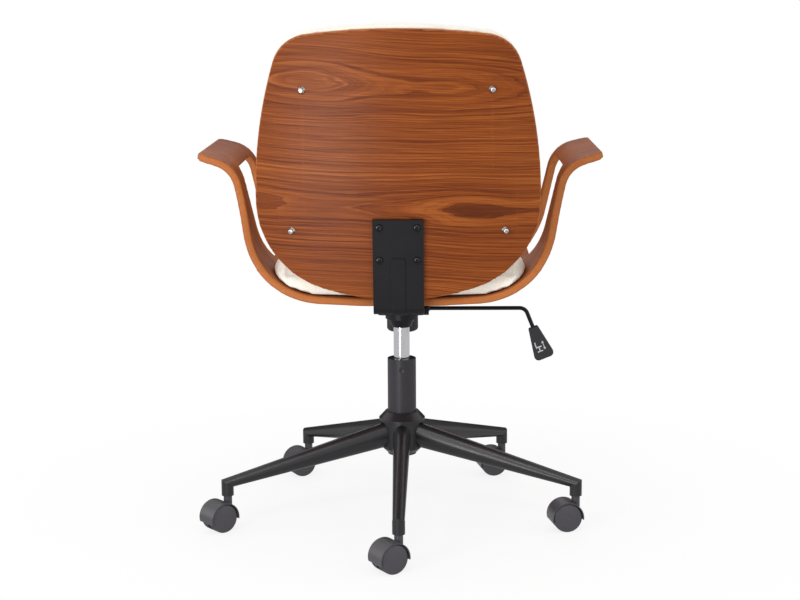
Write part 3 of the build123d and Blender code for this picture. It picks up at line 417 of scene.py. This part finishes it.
# %% Walnut
def walnut(name, crown_at, crown_gap, crown_height, drift, slope, seed, mirror, painted_light_gain):
    """Veneered ply. The grain attribute holds metres along the grain, metres across it and the depth."""
    rings_per_metre, plies, pore_edge = 250.0, 9.0, 0.67
    wood = Finish(name, roughness=0.45)
    along, level, depth = wood.parts(wood.attribute("grain"))
    across = level - along * slope

    def streaks(along_scale, across_value, layer, detail):
        """Noise that is drawn out along the grain."""
        return wood.noise(wood.vector(along * along_scale, across_value, layer), detail=detail)

    # The figure: a wave with its crown, bent by slow and quick noise
    slow = streaks(3.2, across * 3.0, seed, 1.0)
    ripple = streaks(9.0, across * 70.0, 0.81, 2.0)
    wave = ((across - crown_at) * (pi / crown_gap)).cosine() * crown_height
    figure = wave + along * drift + (slow - 0.5) * 0.024 + (ripple - 0.5) * 0.003
    ring = (figure * rings_per_metre).fract()

    # The strokes that lie along it
    line = streaks(3.0, figure * 960.0, 0.47, 3.0)
    fibre = streaks(9.0, across * 620.0, 0.13, 4.0)
    pore = streaks(45.0, across * 1700.0, 0.59, 1.0).over(pore_edge)
    cloud = streaks(2.0, across * 9.0, 0.24, 2.0)
    tone = 0.36 + (ring ** 5.0) * 0.26 + (line - 0.5) * 1.25 + (fibre - 0.5) * 0.8
    tone = tone + (cloud - 0.5) * 0.4 + pore * 0.1

    # Colours of the face, from early to late wood, and of the cut edge
    shades = {0.0: (155, 86, 34), 0.35: (124, 60, 17), 0.65: (95, 41, 10), 1.0: (60, 25, 8)}
    # A gain above 1 lifts every face colour: painted light.
    stops = [(stop, tuple(v * painted_light_gain for v in srgb(*shade))) for stop, shade in shades.items()]
    face = wood.ramp(tone, *stops)
    layers = ((depth * plies).fract() - 0.5) * 0.5 + fibre * 0.4
    edge = wood.ramp(layers, (0.0, srgb(156, 88, 44)), (0.6, srgb(184, 118, 70)))
    inside = 1.0 - abs(depth * 2.0 - 1.0) ** 6.0
    wood.set("Base Color", wood.mix(inside, face, edge))
    wood.set("Specular IOR Level", mirror)
    wood.set("Roughness", 0.36 + (fibre - 0.5) * 0.16 + pore * 0.1)
    wood.bump(fibre - pore * 0.6, 0.12, 0.2 * mm)
    return wood


panel_walnut = walnut(
    "walnut_back", crown_at=0.353, crown_gap=0.196, crown_height=0.05, drift=0.012, slope=0.045,
    seed=0.37, mirror=0.17, painted_light_gain=1.0,
)
# The shell is the same walnut as the panel, its face colours made 1.35 times lighter: painted light on its
# arms and inner walls.
shell_walnut = walnut(
    "walnut_shell", crown_at=0.02, crown_gap=0.23, crown_height=0.03, drift=0.02, slope=0.0,
    seed=0.71, mirror=0.08, painted_light_gain=1.35,
)
board_ply = coated("raw_ply", srgb(206, 168, 122), 0.7, 400.0, 0.2 * mm)
print("woods:", panel_walnut.material.name, shell_walnut.material.name, board_ply.material.name)

# %% [markdown]
# Upholstery: a cream cover with a fine pebble grain, like smooth artificial leather. Small cells give the
# pebbles and paint shade into the gaps between them, and a slow noise makes the grain uneven, as stretched
# cover is.


# %% Upholstery
def cream_cover(name, colour):
    """Smooth cover with a fine pebble grain, and shade painted into the gaps between the pebbles."""
    pebble_scale, stretch_scale, stretch_shade, cover_roughness = 850.0, 18.0, 0.93, 0.62
    cover = Finish(name, cover_roughness)
    cover.set("Specular IOR Level", 0.22)
    spot = cover.place()
    pebbles = cover.cells(spot, pebble_scale)
    stretch = cover.noise(spot, stretch_scale, detail=3.0)
    darker = tuple(v * stretch_shade for v in colour)
    even = cover.ramp(stretch, (0.3, darker), (0.7, colour))
    # The gaps between the pebbles are darker in colour: painted shade, where the bump sinks them.
    painted_pebble_shade = cover.ramp(pebbles, (0.35, (1.0, 1.0, 1.0)), (0.9, (0.86, 0.84, 0.8)))
    cover.set("Base Color", cover.mix(1.0, even, painted_pebble_shade, "MULTIPLY"))
    cover.set("Roughness", cover_roughness + (stretch - 0.5) * 0.12)
    cover.set("Sheen Weight", 0.05)
    cover.bump(1.0 - pebbles, 0.18, 0.3 * mm)
    return cover


cream = cream_cover("cream_cover", srgb(244, 239, 229))
thread = coated("cream_thread", srgb(206, 196, 176), 0.7, 3000.0, 0.1 * mm)
print("cover:", cream.material.name)

# %% [markdown]
# The rigid pieces keep the shapes of the frame. Each one names a material slot in the record, so one loop
# gives every piece its finish. The two bent sheets and the two cushions are dressed further down.

# %% Finishes for the frame's own pieces
slot_of = {entry["node"]: entry["material_slot"] for entry in frame["record"]["subparts"]}
slot_finishes["walnut"] = shell_walnut
slot_finishes["pale_ply"] = board_ply
slot_finishes["upholstery"] = cream
# The back screws and cup washers are chrome, coloured darker than the chrome slot, the washers most: painted
# reflection of the dark wood round them.
node_finishes = {
    "back_screws": bright("screw_chrome_painted_dark_reflection", srgb(218, 216, 214), 0.1, 300.0),
    "back_washers": bright("washer_chrome_painted_dark_reflection", srgb(172, 168, 164), 0.14, 300.0),
    "bracket_screws": bright("blackened_screw_steel", srgb(58, 57, 60), 0.08, 300.0),
}
for node_name, node in nodes.items():
    node.data.materials.clear()
    finish = node_finishes.get(node_name, slot_finishes[slot_of[node_name]])
    node.data.materials.append(finish.material)
print("dressed", len(nodes), "pieces")

# %% [markdown]
# A caster wheel is one moulding in two tones: a grey disc, and a black tread round it. Which of the two a
# point belongs to follows from the way it faces: the disc faces along the axle and the tread away from it.
# The five casters stand at five angles, so each has its own axle.


# %% Caster wheels
def two_tone_wheel(name, axle):
    """Grey where the surface faces along the axle, black where it faces away from it."""
    disc_edge, disc_roughness, tread_roughness = 0.34, 0.36, 0.5
    finish = Finish(name, disc_roughness)
    finish.set("Specular IOR Level", 0.5)
    facing = finish.node("ShaderNodeTexCoord", output="Normal")
    product = {"operation": "DOT_PRODUCT"}
    along_axle = abs(finish.node("ShaderNodeVectorMath", product, [facing, axle], output="Value"))
    grain = finish.noise(finish.place(), 1500.0)
    disc = finish.ramp(grain, (0.3, srgb(58, 56, 61)), (0.7, srgb(68, 66, 71)))
    tread = finish.ramp(grain, (0.3, srgb(24, 23, 25)), (0.7, srgb(30, 29, 31)))
    on_disc = along_axle.over(disc_edge)
    finish.set("Base Color", finish.mix(on_disc, tread, disc))
    finish.set("Roughness", tread_roughness - on_disc * (tread_roughness - disc_roughness))
    finish.bump(grain, 0.3, 0.12 * mm)
    return finish


axles = {joint["name"]: joint["axis"] for joint in frame["record"]["behaviour"]["joints"]}
for number in range(1, 6):
    for side_name in ("left", "right"):
        wheel = nodes[f"caster_{number}_wheel_{side_name}"]
        axle = axles[f"caster_{number}_{side_name}_spin"]
        wheel.data.materials[0] = two_tone_wheel(f"caster_wheel_{number}_{side_name}", axle).material
print("wheels dressed:", sum("_wheel_" in name for name in nodes))

# %% [markdown]
# Some pieces of the frame are the start of a softer shape. Their meshes are loose triangles, so a copy has
# its points merged first, and modifiers that have done their work are turned into plain points and faces.


# %% Copies and applied modifiers
def copy_of(node_name, name):
    """A merged copy of one of the frame's pieces."""
    mesh = nodes[node_name].data.copy()
    mesh.name = name
    mesh.materials.clear()
    shape = bmesh.new()
    shape.from_mesh(mesh)
    bmesh.ops.remove_doubles(shape, verts=shape.verts, dist=0.01 * mm)
    shape.to_mesh(mesh)
    shape.free()
    piece = bpy.data.objects.new(name, mesh)
    bpy.context.collection.objects.link(piece)
    return piece


def apply_modifiers(piece):
    """Turns the piece, as its modifiers show it, into a plain mesh."""
    depsgraph = bpy.context.evaluated_depsgraph_get()
    mesh = bpy.data.meshes.new_from_object(piece.evaluated_get(depsgraph))
    mesh.name = piece.name
    piece.modifiers.clear()
    piece.data = mesh


def remesh(piece, size):
    """Remakes the piece as a net of squares of one size."""
    net = piece.modifiers.new("net", "REMESH")
    net.mode = "VOXEL"
    net.voxel_size = size
    apply_modifiers(piece)


def add_smoothing(piece, name, passes):
    """Adds passes that each move a point half way to the middle of its neighbours."""
    smoothing = piece.modifiers.new(name, "SMOOTH")
    smoothing.factor = 0.5
    smoothing.iterations = passes
    return smoothing


def points_of(mesh):
    flat = np.empty(len(mesh.vertices) * 3)
    mesh.vertices.foreach_get("co", flat)
    return flat.reshape(-1, 3)


def normals_of(mesh):
    return np.array([v.normal[:] for v in mesh.vertices])


def move_points(mesh, points):
    mesh.vertices.foreach_set("co", np.ascontiguousarray(points).ravel())
    mesh.update()


def smooth_shading(mesh):
    mesh.polygons.foreach_set("use_smooth", [True] * len(mesh.polygons))


print("a copy of a frame piece starts with", len(nodes["back_panel"].data.vertices), "loose points")

# %% [markdown]
# The seat shell and the back panel are bent ply with rounded rims. The frame has them with square rims, so
# each is copied, remade as an even net of small squares, and smoothed further near its rim. The net also
# carries the grain: how far each point is along the veneer, how far across it, and how deep in the ply.


# %% Rounded sheets
def surface_tree(mesh, chosen):
    """A search tree of the faces that the test picks by their normal."""
    faces = [tuple(face.vertices) for face in mesh.polygons if chosen(face.normal)]
    return BVHTree.FromPolygons([v.co.copy() for v in mesh.vertices], faces)


def rounded_sheet(node_name, name, outer, inner, net_size, passes):
    """A bent sheet with rounded rims, and each point's depth from the outer face, 0, to the inner, 1."""
    rim_depth = 0.125
    piece = copy_of(node_name, name)
    outer_tree = surface_tree(piece.data, outer)
    inner_tree = surface_tree(piece.data, inner)
    remesh(piece, net_size)
    spots = [Vector(p) for p in points_of(piece.data)]
    to_outer = np.array([outer_tree.find_nearest(p)[3] for p in spots])
    to_inner = np.array([inner_tree.find_nearest(p)[3] for p in spots])
    depth = to_outer / np.maximum(to_outer + to_inner, 1e-9)
    rim = piece.vertex_groups.new(name="rim")
    for index in np.nonzero(np.minimum(depth, 1 - depth) > rim_depth)[0]:
        rim.add([int(index)], 1.0, "REPLACE")
    add_smoothing(piece, "ease", 2)
    add_smoothing(piece, "round", passes).vertex_group = "rim"
    apply_modifiers(piece)
    piece.vertex_groups.clear()
    smooth_shading(piece.data)
    return piece, depth


def store_grain(piece, along, across, depth):
    """Keeps the place in the veneer on each point of the piece."""
    grain = piece.data.attributes.new("grain", "FLOAT_VECTOR", "POINT")
    grain.data.foreach_set("vector", np.column_stack((along, across, depth)).ravel())


seat_shell, shell_depth = rounded_sheet(
    "seat_shell", "seat_shell_walnut",
    outer=lambda normal: normal.z < -0.1 and abs(normal.y) < 0.1,
    inner=lambda normal: normal.z > 0.1 and abs(normal.y) < 0.1,
    net_size=3.0 * mm, passes=8,
)
shell_points = points_of(seat_shell.data)
seat_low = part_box("seat_shell")[0][2]
shell_run = np.sign(shell_points[:, 0]) * (np.abs(shell_points[:, 0]) + shell_points[:, 2] - seat_low)
store_grain(seat_shell, shell_run, shell_points[:, 1], shell_depth)
seat_shell.data.materials.append(shell_walnut.material)
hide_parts("seat_shell")
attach(seat_shell, "seat")
print("seat shell:", len(seat_shell.data.polygons), "squares")

back_panel, panel_depth = rounded_sheet(
    "back_panel", "back_panel_walnut",
    outer=lambda normal: normal.y > 0.5,
    inner=lambda normal: normal.y < -0.5,
    net_size=2.5 * mm, passes=5,
)
panel_points = points_of(back_panel.data)
panel_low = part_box("back_panel")[0][2]
store_grain(back_panel, panel_points[:, 0], panel_points[:, 2] - panel_low, panel_depth)
back_panel.data.materials.append(panel_walnut.material)
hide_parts("back_panel")
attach(back_panel, "seat")
print("back panel:", len(back_panel.data.polygons), "squares")

# %% [markdown]
# The cushions are foam in a sewn cover. Cloth under a little air pressure swells as foam does: the crown
# rises, the sides pull in between the corners, and the cover stays flat where it rests on the wood. Each
# cushion starts a little under size and is held where it rests, and no point may move further than a cap.
# The rear of the seat's cover is then drawn out to the panel, and the back's cover is made a little narrower.


# %% Stuffed cushions
def stuffed(node_name, name, net_size, inset, cap, free):
    """A cushion in the space of its solid. free turns normals into how far each point may swell, 0 to 1."""
    piece = copy_of(node_name, name)
    remesh(piece, net_size)
    add_smoothing(piece, "ease", 2)
    apply_modifiers(piece)
    normals = normals_of(piece.data)
    allowed = free(normals)
    start = points_of(piece.data) - normals * (inset * allowed)[:, None]
    move_points(piece.data, start)
    swell(piece, start, allowed, cap)
    finer = piece.modifiers.new("finer", "SUBSURF")
    finer.levels = 1
    finer.render_levels = 1
    apply_modifiers(piece)
    smooth_shading(piece.data)
    return piece


def swell(piece, start, allowed, cap):
    """Runs the cloth for a few frames and keeps the capped result."""
    air_pressure, last_frame, held_below = 4.0, 20, 0.05
    held = piece.vertex_groups.new(name="held")
    for index in np.nonzero(allowed < held_below)[0]:
        held.add([int(index)], 1.0, "REPLACE")
    cloth = piece.modifiers.new("cover", "CLOTH")
    cloth.settings.use_pressure = True
    cloth.settings.uniform_pressure_force = air_pressure
    cloth.settings.effector_weights.gravity = 0.0
    cloth.settings.vertex_group_mass = "held"
    cloth.point_cache.frame_start = 1
    cloth.point_cache.frame_end = last_frame
    for step in range(1, last_frame + 1):
        bpy.context.scene.frame_set(step)
    apply_modifiers(piece)
    bpy.context.scene.frame_set(1)
    piece.vertex_groups.clear()
    moved = points_of(piece.data) - start
    length = np.linalg.norm(moved, axis=1)
    share = np.minimum(1.0, cap * allowed / np.maximum(length, 1e-9))
    move_points(piece.data, start + moved * share[:, None])


def upward(normals):
    return np.clip(normals[:, 2] * swell_rise + swell_start, 0, 1)


def forward(normals):
    return np.clip(-normals[:, 1] * swell_rise + swell_start, 0, 1)


swell_rise, swell_start = 2.0, 0.4
cushion_net = 6.0 * mm
back_narrowing = 0.985
rear_start = 90.0 * mm
rear_run = 78.0 * mm
rear_stretch = 9.0 * mm
seat_cushion = stuffed(
    "seat_cushion", "seat_cushion_cover", cushion_net, inset=3.0 * mm, cap=9.0 * mm, free=upward)
back_cushion = stuffed(
    "back_cushion", "back_cushion_cover", cushion_net, inset=2.5 * mm, cap=8.0 * mm, free=forward)
seat_points = points_of(seat_cushion.data)
rear_share = np.clip((seat_points[:, 1] - rear_start) / rear_run, 0, 1)
seat_points[:, 1] += rear_stretch * rear_share ** 2
move_points(seat_cushion.data, seat_points)
back_points = points_of(back_cushion.data)
back_points[:, 0] *= back_narrowing
move_points(back_cushion.data, back_points)
for cushion, node_name in ((seat_cushion, "seat_cushion"), (back_cushion, "back_cushion")):
    cushion.data.materials.append(cream.material)
    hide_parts(node_name)
    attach(cushion, "seat")
    print(cushion.name, len(cushion.data.polygons), "faces")

# %% [markdown]
# A sewn seam runs round the face of each cushion, some way in from its edge. The line is drawn as a rounded
# square in front of the cover and dropped onto it by rays. Points of the cover near it are pulled in, which
# gives the groove that tight thread makes. The line is then dropped again, onto the floor of the groove.


# %% Seams
def rounded_square(share, half_width, half_height):
    """A point on a rounded square, from the share of the way round."""
    angle = 2 * pi * share
    bend = 0.62
    across = half_width * np.sign(cos(angle)) * abs(cos(angle)) ** bend
    rise = half_height * np.sign(sin(angle)) * abs(sin(angle)) ** bend
    return across, rise


def seam_line(cushion, middle, right, up, half_width, half_height):
    """Points of the seam on the cover."""
    seam_steps, ray_start = 400, 0.4
    tree = surface_tree(cushion.data, lambda normal: True)
    ray = up.cross(right).normalized()
    line = []
    for step in range(seam_steps):
        across, rise = rounded_square(step / seam_steps, half_width, half_height)
        start = middle + right * across + up * rise - ray * ray_start
        spot = tree.ray_cast(start, ray)[0]
        if spot is not None:
            line.append(spot)
    return line


def press_groove(cushion, line, depth, width):
    """Pulls the cover in along the seam."""
    near = KDTree(len(line))
    for index, spot in enumerate(line):
        near.insert(spot, index)
    near.balance()
    points = points_of(cushion.data)
    gaps = np.array([near.find(Vector(p))[2] for p in points])
    pull = depth * np.exp(-((gaps / width) ** 2))
    move_points(cushion.data, points - normals_of(cushion.data) * pull[:, None])


def middle_and_half(node_name):
    """The middle of a piece's box, and half its size."""
    low, high = (Vector(corner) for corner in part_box(node_name))
    return (low + high) / 2, (high - low) / 2


groove_depth = 3.0 * mm
groove_width = 6.0 * mm
seam_width_share = 0.8
seat_seam_share = 0.82
back_seam_share = 0.76
seat_middle, seat_half = middle_and_half("seat_cushion")
back_middle, back_half = middle_and_half("back_cushion")
seat_seam = (seat_half.x * seam_width_share, seat_half.y * seat_seam_share)
back_seam = (back_half.x * seam_width_share, back_half.z * back_seam_share)
rightward = Vector((1, 0, 0))
seam_places = {
    "seat": (seat_cushion, seat_middle, rightward, Vector((0, 1, 0)), *seat_seam),
    "back": (back_cushion, back_middle, rightward, Vector((0, 0, 1)), *back_seam),
}
seams = {}
for seam_name, place in seam_places.items():
    press_groove(place[0], seam_line(*place), groove_depth, groove_width)
    seams[seam_name] = seam_line(*place)
    print(seam_name, "seam:", len(seams[seam_name]), "points")

# %% [markdown]
# The thread in the seam shows as short, even stitches. Geometry Nodes walk along the seam, set one small
# bead at each step, turn it along the line and stretch it to a stitch.


# %% Stitches
def stitch_tree():
    """Nodes that turn a line of edges into a row of stitches."""
    tree = bpy.data.node_groups.new("stitches", "GeometryNodeTree")
    face = tree.interface
    face.new_socket("Geometry", in_out="INPUT", socket_type="NodeSocketGeometry")
    for name in ("Spacing", "Length", "Thickness"):
        face.new_socket(name, in_out="INPUT", socket_type="NodeSocketFloat")
    face.new_socket("Thread", in_out="INPUT", socket_type="NodeSocketMaterial")
    face.new_socket("Geometry", in_out="OUTPUT", socket_type="NodeSocketGeometry")
    given = tree.nodes.new("NodeGroupInput").outputs
    kinds = (
        "GeometryNodeMeshToCurve", "GeometryNodeResampleCurve", "GeometryNodeMeshUVSphere",
        "GeometryNodeInputTangent", "FunctionNodeAlignRotationToVector", "ShaderNodeCombineXYZ",
        "GeometryNodeInstanceOnPoints", "GeometryNodeRealizeInstances", "GeometryNodeSetShadeSmooth",
        "GeometryNodeSetMaterial", "NodeGroupOutput",
    )
    made = [tree.nodes.new(kind) for kind in kinds]
    line, steps, bead, tangent, turn, size, set_on, real, smooth, dress, result = made
    steps.mode = "LENGTH"
    turn.axis = "X"
    bead.inputs["Segments"].default_value = 6
    bead.inputs["Rings"].default_value = 4
    bead.inputs["Radius"].default_value = 0.5
    for source, target in (
        (given["Geometry"], line.inputs["Mesh"]),
        (line.outputs["Curve"], steps.inputs["Curve"]),
        (given["Spacing"], steps.inputs["Length"]),
        (steps.outputs["Curve"], set_on.inputs["Points"]),
        (bead.outputs["Mesh"], set_on.inputs["Instance"]),
        (tangent.outputs["Tangent"], turn.inputs["Vector"]),
        (turn.outputs["Rotation"], set_on.inputs["Rotation"]),
        (given["Length"], size.inputs["X"]),
        (given["Thickness"], size.inputs["Y"]),
        (given["Thickness"], size.inputs["Z"]),
        (size.outputs["Vector"], set_on.inputs["Scale"]),
        (set_on.outputs["Instances"], real.inputs["Geometry"]),
        (real.outputs["Geometry"], smooth.inputs["Geometry"]),
        (smooth.outputs["Geometry"], dress.inputs["Geometry"]),
        (given["Thread"], dress.inputs["Material"]),
        (dress.outputs["Geometry"], result.inputs["Geometry"]),
    ):
        tree.links.new(source, target)
    return tree


stitches = stitch_tree()
sockets = [item for item in stitches.interface.items_tree if item.in_out == "INPUT"]
socket_ids = {item.name: item.identifier for item in sockets}
stitch_inputs = {
    "Spacing": 5.2 * mm,
    "Length": 3.8 * mm,
    "Thickness": 1.1 * mm,
    "Thread": thread.material,
}
for seam_name, line in seams.items():
    mesh = bpy.data.meshes.new(f"{seam_name}_stitches")
    mesh.from_pydata(line, [(i, (i + 1) % len(line)) for i in range(len(line))], [])
    row = bpy.data.objects.new(mesh.name, mesh)
    bpy.context.collection.objects.link(row)
    sewing = row.modifiers.new("sewing", "NODES")
    sewing.node_group = stitches
    for name, value in stitch_inputs.items():
        sewing[socket_ids[name]] = value
    apply_modifiers(row)
    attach(row, "seat")
    print(row.name, len(row.data.polygons), "faces")

# %% [markdown]
# The tension spring stands between the housing and the knob below it. When the seat leans back, the knob
# comes up with it, so the spring has to give. Here the coil is a smooth-shaded copy of the frame's spring,
# with its place baked into its points, and it stays as the frame has it.

# %% Tension spring
spring = copy_of("tension_spring", "tension_spring_coil")
smooth_shading(spring.data)
spring.data.materials.append(zinc.material)
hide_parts("tension_spring")
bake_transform(spring)
print("spring:", len(spring.data.polygons), "faces")

# %% [markdown]
# The lever's paddle carries a small sign that says what it does: a seat beside arrows that point up and
# down. The sign is drawn as flat shapes in the paddle's own plane, nearly in millimetres, and made a tenth
# of a millimetre thick, as a thick print is.

# %% Sign on the paddle
paddle_lean = radians(68)
paddle_middle, paddle_half = middle_and_half("lever_paddle")
sign_up = Vector((cos(paddle_lean), 0, sin(paddle_lean)))
sign_right = Vector((-sin(paddle_lean), 0, cos(paddle_lean)))
sign_drop = 5.0 * mm
sign_shift = 5.0 * mm
sign_scale = 1.05 * mm
print_gap = 0.02 * mm
print_thickness = 0.1 * mm
paddle_face = paddle_middle + Vector((0, paddle_half.y, 0))
sign_middle = paddle_face - sign_up * sign_drop - sign_right * sign_shift
sign_shapes = [
    [(-6.0, 9.5), (-4.2, 9.5), (-4.2, 1.6), (-6.0, 1.6)],
    [(-6.0, 1.2), (4.0, 1.2), (4.0, -0.8), (-6.0, -0.8)],
    [(-1.9, -1.2), (-0.1, -1.2), (-0.1, -6.2), (-1.9, -6.2)],
    [(-5.6, -6.6), (3.6, -6.6), (3.6, -8.2), (-5.6, -8.2)],
    [(7.0, 4.5), (8.2, 4.5), (8.2, -3.5), (7.0, -3.5)],
    [(5.3, 4.5), (9.9, 4.5), (7.6, 8.5)],
    [(9.9, -3.5), (5.3, -3.5), (7.6, -7.5)],
]
sign_finish = coated("pale_print", srgb(196, 196, 198), 0.6, 2500.0, 0.05 * mm)
shape = bmesh.new()
for outline in sign_shapes:
    corners = [sign_middle + (sign_right * x + sign_up * y) * sign_scale for x, y in outline]
    face = shape.faces.new([shape.verts.new(corner + Vector((0, print_gap, 0))) for corner in corners])
    face.normal_update()
    raised = bmesh.ops.extrude_face_region(shape, geom=[face])
    top = [v for v in raised["geom"] if isinstance(v, bmesh.types.BMVert)]
    bmesh.ops.translate(shape, verts=top, vec=(0, print_thickness, 0))
bmesh.ops.recalc_face_normals(shape, faces=shape.faces)
sign_mesh = bpy.data.meshes.new("paddle_sign")
shape.to_mesh(sign_mesh)
shape.free()
sign_mesh.materials.append(sign_finish.material)
paddle_sign = bpy.data.objects.new("paddle_sign", sign_mesh)
bpy.context.collection.objects.link(paddle_sign)
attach(paddle_sign, "lever")
print("sign:", len(sign_mesh.polygons), "faces")

# %% [markdown]
# The dressed chair has to stay inside the frame's box, give or take what cloth stands proud. This last cell
# only says that the dressing is done.

# %% Finish
print("the chair is dressed")
